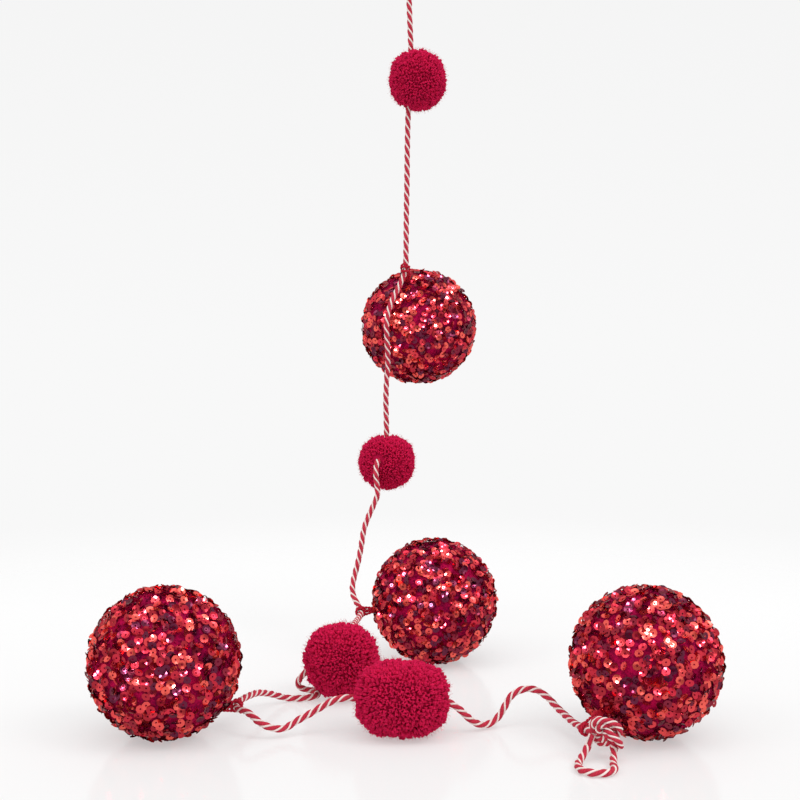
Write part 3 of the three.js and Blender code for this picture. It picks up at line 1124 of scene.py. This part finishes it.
@dataclass
class Ties:
    """The doubled threads that hold the balls to the cord, wound round it and drawn tight."""

    lay_mm: float = 3.0
    strand_radius_mm: float = 0.36
    strand_offset_mm: float = 0.3
    step_mm: float = 0.4
    sides: int = 6
    sunk_mm: float = 1.4
    unevenness: float = 0.3
    patch_mm: float = 3.0
    shank_apart: float = 0.45
    drawn_in_mm: float = 0.1
    round_points: int = 40
    straight_points: int = 14
    wound_at_mm: tuple[float, ...] = (-1.15, 1.15)

    def dress(self) -> None:
        """Makes the thread's material and its tree."""
        thread = SpunYarn(
            "polyester sewing thread, red", shadow="8A0C24", light="D8203E", bloom="E87088", twist_mm=1.0,
        ).build()
        self.tree = twist_tree("two threads", ("Strand", 0, thread), ("Strand", 180, thread))

    def lines(
        self, centre: Point, radius_mm: float, place: TiePlace, cord_radius_mm: float
    ) -> list[np.ndarray]:
        """The closed lines of one tie: a belt from the ball round the cord, the shank inside it,
        and the turns beside it.

        Args:
            centre: The ball's middle.
            radius_mm: The ball's radius.
            place: Where the tie goes.
            cord_radius_mm: The cord's radius.

        Returns:
            Points in millimetres above the table.
        """
        thick = self.strand_radius_mm + self.strand_offset_mm
        root = np.array(centre) + unit(place.leaves) * (radius_mm - self.sunk_mm)
        cord, along = np.array(place.cord), unit(place.along)
        far = float(np.linalg.norm(cord - root))
        reach = (cord - root) / far
        across = unit(np.cross(reach, along))
        wide = cord_radius_mm + thick
        deep = cord_radius_mm / abs(float(np.cross(reach, across) @ along)) + thick
        # The belt leaves the cord where its straight sides touch it
        leave = math.pi - math.acos(min(0.9, cord_radius_mm / far))
        t = np.linspace(-leave, leave, self.round_points)[:, None]
        arc = cord + deep * np.cos(t) * reach + wide * np.sin(t) * across
        straight = self.straight_points
        down = np.linspace(arc[-1], root + thick * across, straight)[1:]
        up = np.linspace(root - thick * across, arc[0], straight)[:-1]
        belt = np.vstack([arc, down, [root - thick * reach], up])
        away = unit(np.cross(along, across))
        t = np.linspace(0, 2 * math.pi, self.round_points, endpoint=False)[:, None]
        turn = cord + (wide - self.drawn_in_mm) * (np.cos(t) * away + np.sin(t) * across)
        near, side = cord - wide * reach, self.shank_apart * thick * across
        shank = np.vstack([
            np.linspace(root + side, near + side, straight), np.linspace(near - side, root - side, straight),
        ])
        return [belt, shank, *(turn + shift * along for shift in self.wound_at_mm)]

    def tie(self, ball: str, lines: list[np.ndarray]) -> None:
        """Makes one tie.

        Args:
            ball: The ball's CAD node.
            lines: The tie's closed lines.
        """
        made = grow(f"{ball}_tie", line_object("tie line", lines, closed=True), self.tree, {
            "Lay": self.lay_mm * MM, "Step": self.step_mm * MM, "Sides": self.sides,
            "Strand radius": self.strand_radius_mm * MM, "Strand offset": self.strand_offset_mm * MM,
            "Strand unevenness": self.unevenness, "Patch size": self.patch_mm * MM,
        })
        attach(made, Slot.THREAD, f"{ball}_thread")


# Pompoms


@dataclass(frozen=True)
class PompomPlace:
    """A pompom's CAD node, its middle, its size across, front to back and up, and how far it is
    from an ellipsoid, which is 2."""

    node: str
    at: Point
    size: Point
    square: float = 2.15


POMPOMS = (
    PompomPlace("pompom_1", (4.4, 0, 290.6), (30.2, 29.8, 31.8)),
    PompomPlace("pompom_2", (-11.4, 0, 94), (30.2, 29.4, 29.4)),
    PompomPlace("pompom_3", (-30.4, -108, 16.8), (34.4, 33.6, 33.6)),
    PompomPlace("pompom_4", (-3.8, -162, 15.1), (38.6, 34, 30), 2.6),
)


@dataclass
class Pompoms:
    """Pompoms of wool yarn, wound, tied in the middle, cut, and trimmed round by hand."""

    yarn_end_mm: float = 1.75
    plies: int = 4
    ply_share: float = 0.5
    ply_taper: float = 0.3
    ply_tip_mm: float = 0.4
    cut_apart_mm: float = 0.45
    parting: tuple[float, float] = (0.1, 0.5)
    length_mm: float = 5.5
    core: float = 0.84
    # The dense middle takes this reach on the wool's ramp, so it carries the pile's painted shade
    core_shade_reach: float = 0.45
    fibre_mm: float = 0.12
    fibre_length_mm: float = 2.0
    pile: Sowing = Sowing(
        1.1, 3.5, lean=0.2, smallest=0.84, largest=1.12, inset=0.97, jitter=0.035, uneven=0.2,
        patch_mm=5.0, room_mm=2.1,
    )
    strays: Sowing = Sowing(
        1.3, 2.0, lean=0.8, smallest=0.6, largest=1.3, inset=0.99, jitter=0.03, uneven=0.2,
        patch_mm=5.0, room_mm=2.1, seed=60,
    )
    first_seed: int = 1

    def dress(self, cords: Thing) -> None:
        """Makes the wool, its tree, and the yarn end and stray fibre that all the pompoms share.

        Args:
            cords: The line of the whole cord, which the pile parts round.
        """
        self.wool = CutWool("cut worsted wool, crimson").build()
        self.tree = sow_tree("cut wool", self.wool)
        self.cords = cords
        self.end = self.brush()
        half, thick = self.fibre_length_mm / 2, self.fibre_mm / 2
        self.fibre = mesh_object("stray fibre", *rings(THIN_SIDES, [(-half, thick), (half, thick / 2)]))
        for piece in (self.end, self.fibre):
            store_reach(piece, self.length_mm)

    def brush(self) -> Thing:
        """Makes one cut yarn end. Its plies part towards the tip, and each has its own height.

        Returns:
            The yarn end.
        """
        half, tip = self.yarn_end_mm / 2, self.ply_tip_mm
        radius = self.ply_share * half
        closed, open_by = self.parting
        corners, faces = [], []
        for k in range(self.plies):
            cut = tip + self.cut_apart_mm * ((k * 2) % self.plies) / self.plies
            rows = [(-self.length_mm, self.ply_taper * radius), (-cut, radius)]
            ply, sides = rings(THIN_SIDES, rows, cap=tip)
            turn = 2 * math.pi * k / (self.plies - 1)
            aim = Vector((math.cos(turn), math.sin(turn), 0)) * (half * MM if k else 0)
            first = len(corners)
            for corner in ply:
                up = max(0.0, 1 + corner.z / (self.length_mm * MM))
                corners.append(corner + aim * (closed + open_by * up**3))
            faces.extend([first + c for c in face] for face in sides)
        return mesh_object("yarn end", corners, faces)

    def pompom(self, place: PompomPlace, seed: int) -> None:
        """Makes one pompom: its yarn ends, its stray fibres and its dense middle.

        Args:
            place: The pompom's place and size.
            seed: The seed of what is random in it.
        """
        half = tuple(s / 2 for s in place.size)
        made, strays = (
            sowing.sow(
                name, egg("outer form", place.at, half, 4, place.square), self.tree, piece, self.cords,
                place.at, seed,
            )
            for name, sowing, piece in (
                (f"{place.node}_yarn", self.pile, self.end), ("stray fibres", self.strays, self.fibre),
            )
        )
        middle = egg("dense middle", place.at, tuple(h * self.core for h in half), 3, place.square)
        middle.data.materials.append(self.wool)
        # Painted shade: the dense middle is coloured as deep in the pile, darker than the tips
        reach = middle.data.attributes.new("reach", "FLOAT", "POINT")
        reach.data.foreach_set("value", [self.core_shade_reach] * len(middle.data.vertices))
        join(made, strays, middle)
        attach(made, Slot.YARN, place.node)


# Sequinned balls


@dataclass(frozen=True)
class BallPlace:
    """A ball's CAD node, its middle, and its tie."""

    node: str
    at: Point
    tie: TiePlace


BALLS = (
    BallPlace("ball_1", (5.3, 21, 164.5), TiePlace((-7.1, -21, 29.6), (-1.8, 0, 194.1), (0, 0, -1))),
    BallPlace("ball_2", (12.3, -43, 29.9), TiePlace((-36, -3.6, -4.8), (-23.8, -46.6, 25.2), (0, -1, -0.1))),
    BallPlace("ball_3", (-98.5, -163, 29.9), TiePlace((21, 6, -22), (-71.2, -152, 9.2), (0, -1, 0))),
    BallPlace(
        "ball_4", (93.4, -162.5, 29.9), TiePlace((-26.8, -20.9, -20.9), (66.6, -183.4, 9), (0.2, -1, 0.15)),
    ),
)


@dataclass
class Balls:
    """Round balls covered in knitted velvet, with cup sequins sewn on thickly and unevenly."""

    radius_mm: float = 30.1
    cloth_mm: float = 28.7
    sewn_at_mm: float = 29.3
    sequin_mm: float = 3.5
    hole_mm: float = 0.8
    flat: float = 0.7
    bent_mm: float = 0.02
    cup_mm: float = 0.2
    film_mm: float = 0.07
    sequin_sides: int = 8
    # A tuft's heights over its foot, each with its radius there, and its rounded end
    tuft_mm: tuple[tuple[float, float], ...] = ((-1.0, 0.45), (0.2, 0.34))
    tuft_end_mm: float = 0.2
    pile: Sowing = Sowing(1.3, 5.07, lean=0.5, smallest=0.8, largest=1.3, height_mm=0.7, seed=40)
    sewing: Sowing = Sowing(2.1, 3.969, lean=0.62, bare=0.45, room_mm=2.2, height_mm=0.9)
    first_seed: int = 21

    def dress(self, cords: Thing) -> None:
        """Makes the cloth, the film, the trees, one sequin and one tuft of velvet.

        Args:
            cords: The line of the whole cord, which the sequins stay clear of.
        """
        self.cords = cords
        self.cloth = VelvetCloth("knitted velvet, crimson").build()
        self.velvet_tree = sow_tree("velvet pile", self.cloth)
        film = SequinFilm("metallised polyester film, red lacquer").build()
        self.sequin_tree = sow_tree("sewn sequins", film)
        self.sequin = self.cup()
        self.tuft = mesh_object("velvet tuft", *rings(THIN_SIDES, self.tuft_mm, cap=self.tuft_end_mm))

    def cup(self) -> Thing:
        """Makes one cup sequin of thin film: a flat middle with a hole, and a rim turned up.

        Returns:
            The sequin.
        """
        half, hole, n = self.sequin_mm / 2, self.hole_mm / 2, self.sequin_sides
        rows = [(hole, 0.0), (self.flat * half, self.bent_mm), (half, self.cup_mm), (hole, -self.film_mm)]
        corners = [
            Vector((r * math.cos(2 * math.pi * k / n), r * math.sin(2 * math.pi * k / n), z)) * MM
            for r, z in rows for k in range(n)
        ]
        faces = [
            [a * n + k, b * n + k, b * n + (k + 1) % n, a * n + (k + 1) % n]
            for a, b in ((0, 1), (1, 2), (2, 3), (3, 0)) for k in range(n)
        ]
        made = mesh_object("cup sequin", corners, faces)
        # The folds and rims stay crisp, and the rest is round
        made.data.shade_smooth()
        for edge in made.data.edges:
            edge.use_edge_sharp = edge.vertices[0] // n == edge.vertices[1] // n
        return made

    def ball(self, place: BallPlace, seed: int) -> Thing:
        """Makes one ball: its velvet, and its sequins.

        Args:
            place: The ball's place.
            seed: The seed of what is random on it.

        Returns:
            The sequins.
        """
        cloth = (self.cloth_mm,) * 3
        velvet = self.pile.sow(
            f"{place.node}_velvet", egg("cloth form", place.at, cloth, 4), self.velvet_tree, self.tuft,
            self.cords, place.at, seed,
        )
        ground = egg("cloth ground", place.at, cloth, 4)
        ground.data.materials.append(self.cloth)
        join(velvet, ground)
        attach(velvet, Slot.SEQUINS, place.node)
        form = egg("sewing form", place.at, (self.sewn_at_mm,) * 3, 5)
        sequins = self.sewing.sow(
            f"{place.node}_sequins", form, self.sequin_tree, self.sequin, self.cords, place.at, seed,
        )
        attach(sequins, Slot.SEQUINS)
        return sequins


# The studio


@dataclass(frozen=True)
class Softbox:
    """A square area light: its place in metres, its side, its power, and whether it only shows in
    the sequins' gloss, as a small bright lamp does whose light is lost in the rest."""

    name: str
    at: Point
    side_m: float
    watts: float
    gloss_only: bool = False


@dataclass
class Studio:
    """The camera at the photograph's angle, a pale table, and soft light."""

    camera_at: Point = (-0.0046, -0.675, -0.221)
    tilt_down_deg: float = 2.862
    lens_mm: float = 58.5
    sensor_mm: float = 36.0
    clip_m: tuple[float, float] = (0.01, 20.0)
    table_m: float = 3.2
    table_sides: int = 96
    table_at: Point = (0, -0.1, TABLE - 0.02 * MM)
    surround: str = "F8F8F8"
    # How high over the horizon the surround is dimmed in full, and what is left of it there
    dimmed_at: float = 0.3
    upper_dimming: float = 0.965
    fill: float = 0.62
    # Between these directions, from the camera's side on, the mirrored room goes from dark to bright
    room_turns: tuple[float, float] = (-0.97, -0.6)
    room_dark: float = 0.25
    room_bright: float = 0.95
    overhead: float = 1.1
    overhead_wide_deg: float = 65.0
    overhead_from: Point = (0.15, -0.45, 1.0)
    aim: Point = (0.0, -0.12, -0.3)
    boxes: tuple[Softbox, ...] = (
        Softbox("left box", (-0.7, -0.6, 0.4), 0.5, 1.8),
        Softbox("right box", (0.7, -0.5, 0.5), 0.45, 2.2),
        Softbox("left glint", (-0.45, -0.95, 0.25), 0.28, 16.0, gloss_only=True),
        Softbox("top glint", (0.15, -0.7, 0.8), 0.28, 16.0, gloss_only=True),
    )

    def camera(self) -> None:
        """Makes the camera."""
        data = bpy.data.cameras.new("camera")
        data.lens, data.sensor_width = self.lens_mm, self.sensor_mm
        data.clip_start, data.clip_end = self.clip_m
        made = new_object("camera", data)
        made.location = self.camera_at
        made.rotation_euler = (math.radians(90 - self.tilt_down_deg), 0, 0)
        bpy.context.scene.camera = made

    def table(self) -> None:
        """Makes the table top, a thin round plate that fades out at its rim."""
        angles = [2 * math.pi * k / self.table_sides for k in range(self.table_sides)]
        half = self.table_m / 2
        corners = [(half * math.cos(a), half * math.sin(a), 0) for a in angles]
        made = mesh_object("table_top", corners, [list(range(self.table_sides))])
        made.location = self.table_at
        made.data.materials.append(LitAcrylic("white acrylic").build())

    def world(self) -> bpy.types.World:
        """Makes the pale surround, which the camera, gloss and the rest see each in its own way.

        Returns:
            The world.
        """
        world = bpy.data.worlds.new("studio")
        world.use_nodes = True
        world.cycles.sampling_method = "NONE"
        world.node_tree.nodes.clear()
        add = partial(add_node, world.node_tree)
        towards = add("ShaderNodeSeparateXYZ", {0: add("ShaderNodeTexCoord").outputs["Generated"]}).outputs
        # What the camera sees: a little dimmer towards the top
        dimming = add("ShaderNodeMapRange", {
            "Value": towards[2], "From Max": self.dimmed_at, "To Min": 1.0, "To Max": self.upper_dimming,
        })
        # What gloss mirrors: pale walls, and a darker room on the side of the camera
        room = add("ShaderNodeMapRange", {
            "Value": towards[1], "From Min": self.room_turns[0], "From Max": self.room_turns[1],
            "To Min": self.room_dark, "To Max": self.room_bright,
        }, interpolation_type="SMOOTHSTEP")
        seen, mirrored, even = (
            add("ShaderNodeBackground", {"Color": linear(colour), "Strength": strength})
            for colour, strength in ((self.surround, dimming), (WHITE, room), (WHITE, self.fill))
        )
        rays = add("ShaderNodeLightPath").outputs
        lit = add("ShaderNodeMixShader", {0: rays["Is Diffuse Ray"], 1: mirrored, 2: even})
        mixed = add("ShaderNodeMixShader", {0: rays["Is Camera Ray"], 1: lit, 2: seen})
        add("ShaderNodeOutputWorld", {"Surface": mixed})
        return world

    def lamp(self, data: bpy.types.Light, place: Point, aim: Point) -> Thing:
        """Puts a lamp in the scene.

        Args:
            data: The lamp.
            place: Where it stands.
            aim: What it points at.

        Returns:
            The lamp's object.
        """
        made = new_object(data.name, data)
        made.location = place
        made.rotation_euler = (Vector(aim) - Vector(place)).to_track_quat("-Z", "Y").to_euler()
        return made

    def light(self, glossy: list[Thing]) -> None:
        """Makes the soft light: a pale surround, a wide overhead light and the boxes.

        Args:
            glossy: The only pieces that the glint lamps show in.
        """
        scene = bpy.context.scene
        scene.view_settings.view_transform = "Standard"
        scene.view_settings.look = "None"
        scene.world = self.world()
        above = bpy.data.lights.new("overhead light", "SUN")
        above.angle, above.energy = math.radians(self.overhead_wide_deg), self.overhead
        self.lamp(above, self.overhead_from, (0.0, 0.0, 0.0))
        mirrors = bpy.data.collections.new("glossy pieces")
        for piece in glossy:
            mirrors.objects.link(piece)
        for box in self.boxes:
            data = bpy.data.lights.new(box.name, "AREA")
            data.size, data.energy = box.side_m, box.watts
            lamp = self.lamp(data, box.at, self.aim)
            if box.gloss_only:
                lamp.visible_diffuse = False
                lamp.light_linking.receiver_collection = mirrors


# The garland


def main() -> None:
    """Builds the looks round the frame, in order, and reports each piece."""
    logging.basicConfig(level=logging.INFO, format="%(message)s")
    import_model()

    studio = Studio()
    studio.camera()

    balls, ties, cord, pompoms = Balls(), Ties(), Cord(), Pompoms()
    cord.dress()
    for place in KNOTS:
        cord.knot(place)
    ties.dress()
    for place in BALLS:
        ties.tie(place.node, ties.lines(place.at, balls.radius_mm, place.tie, cord.diameter_mm / 2))
    for row in STRETCHES:
        cord.stretch(row)

    whole = line_object("whole cord", [row.line() for row in STRETCHES])
    pompoms.dress(whole)
    for seed, place in enumerate(POMPOMS, pompoms.first_seed):
        pompoms.pompom(place, seed)
    balls.dress(whole)
    sequins = [balls.ball(place, seed) for seed, place in enumerate(BALLS, balls.first_seed)]
    for helper in (whole, pompoms.end, pompoms.fibre, balls.sequin, balls.tuft):
        discard(helper)

    studio.table()
    studio.light(sequins)
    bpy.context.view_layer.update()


if __name__ == "__main__":
    main()
